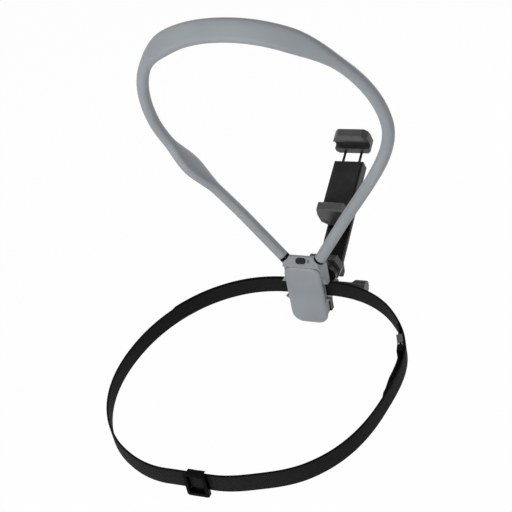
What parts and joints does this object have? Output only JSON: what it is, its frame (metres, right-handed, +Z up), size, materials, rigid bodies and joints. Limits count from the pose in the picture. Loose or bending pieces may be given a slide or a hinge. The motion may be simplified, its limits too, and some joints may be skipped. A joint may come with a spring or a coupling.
{
  "type": "neck phone holder",
  "caption": "Hands-free phone holder: a padded neckband and a chest belt carry a housing with a swivelling, tilting arm and a sprung phone clamp.",
  "frame": {"origin": "middle of the chest pad's face", "axes": "+X to the wearer's right, +Y away from the chest, +Z up"},
  "size_m": [0.2473, 0.4297, 0.3266],
  "materials": {
    "silicone": "matte",
    "steel": "satin",
    "gloss_black": "gloss",
    "housing_grey": "soft matte",
    "pad_grey": "matte",
    "matt_black": "matte",
    "dark_grey": "matte",
    "mark_grey": "satin",
    "soft_black": "matte",
    "webbing": "woven",
    "slider_black": "satin",
    "ring_grey": "satin"
  },
  "bodies": {
    "wearable": {"neckband_cover": "silicone", "neckband_core": "steel", "band_plugs": "steel", "band_ring_left": "gloss_black", "band_ring_right": "gloss_black", "housing_rear": "housing_grey", "housing_front": "housing_grey", "chest_pad": "pad_grey", "button_spring": "steel", "side_spring": "steel", "dock_magnet": "steel", "housing_screws": "steel", "lock_mark": "mark_grey", "dock_disc": "steel", "dock_plate": "matt_black", "swivel_drum": "dark_grey", "swivel_washer": "steel", "swivel_screw": "steel", "chest_belt": "webbing", "tri_glide": "slider_black", "glide_bar": "slider_black", "belt_ring": "ring_grey", "belt_hook": "slider_black"},
    "release_button": {"top_button": "matt_black"},
    "latch": {"latch_slide": "matt_black"},
    "lock_button": {"side_button": "matt_black"},
    "mount_head": {"mount_block": "dark_grey", "hinge_nut": "steel"},
    "thumb_wheel": {"thumb_screw": "steel", "thumb_knob": "matt_black"},
    "arm_body": {"arm": "dark_grey", "clamp_pin": "steel", "pin_clip": "steel"},
    "clamp": {"clamp_body": "matt_black", "clamp_cover": "matt_black", "body_pad": "soft_black", "lower_jaw": "dark_grey", "lower_jaw_pad": "soft_black", "jaw_screws": "steel", "clamp_screws": "steel", "jaw_spring_left": "steel", "jaw_spring_right": "steel"},
    "sliding_jaw": {"upper_jaw": "matt_black", "upper_jaw_pad": "soft_black", "jaw_rods": "steel"}
  },
  "joints": [
    {"name": "swivel", "type": "hinge", "parent": "wearable", "child": "mount_head", "pos_m": [0, 0.05, 0], "axis": [0, 1, 0], "continuous": true},
    {"name": "arm_tilt", "type": "hinge", "parent": "mount_head", "child": "arm_body", "pos_m": [0, 0.0547, -0.0255], "axis": [1, 0, 0], "range_deg": [-60, 15]},
    {"name": "thumb_turn", "type": "hinge", "parent": "mount_head", "child": "thumb_wheel", "pos_m": [0.02, 0.0547, -0.0255], "axis": [1, 0, 0], "continuous": true},
    {"name": "clamp_tilt", "type": "hinge", "parent": "arm_body", "child": "clamp", "pos_m": [0, 0.13557, 0.03643], "axis": [1, 0, 0], "range_deg": [-50, 7]},
    {"name": "jaw_slide", "type": "slide", "parent": "clamp", "child": "sliding_jaw", "axis": [0, 0.8829, 0.4695], "range_m": [-0.0135, 0.013], "stiffness_N_per_m": 400, "deforming": ["jaw_spring_left", "jaw_spring_right"]},
    {"name": "button_press", "type": "slide", "parent": "wearable", "child": "release_button", "axis": [0, 0.8434, -0.5373], "range_m": [0, 0.0015], "stiffness_N_per_m": 300, "deforming": ["button_spring"]},
    {"name": "latch_drop", "type": "slide", "parent": "wearable", "child": "latch", "axis": [0, 0, -1], "range_m": [0, 0.001]},
    {"name": "lock_press", "type": "slide", "parent": "wearable", "child": "lock_button", "axis": [-1, 0, 0], "range_m": [0, 0.0012], "stiffness_N_per_m": 300, "deforming": ["side_spring"]}
  ],
  "couplings": [
    {"joint": "latch_drop", "follows": "button_press", "ratio": 0.66667}
  ]
}
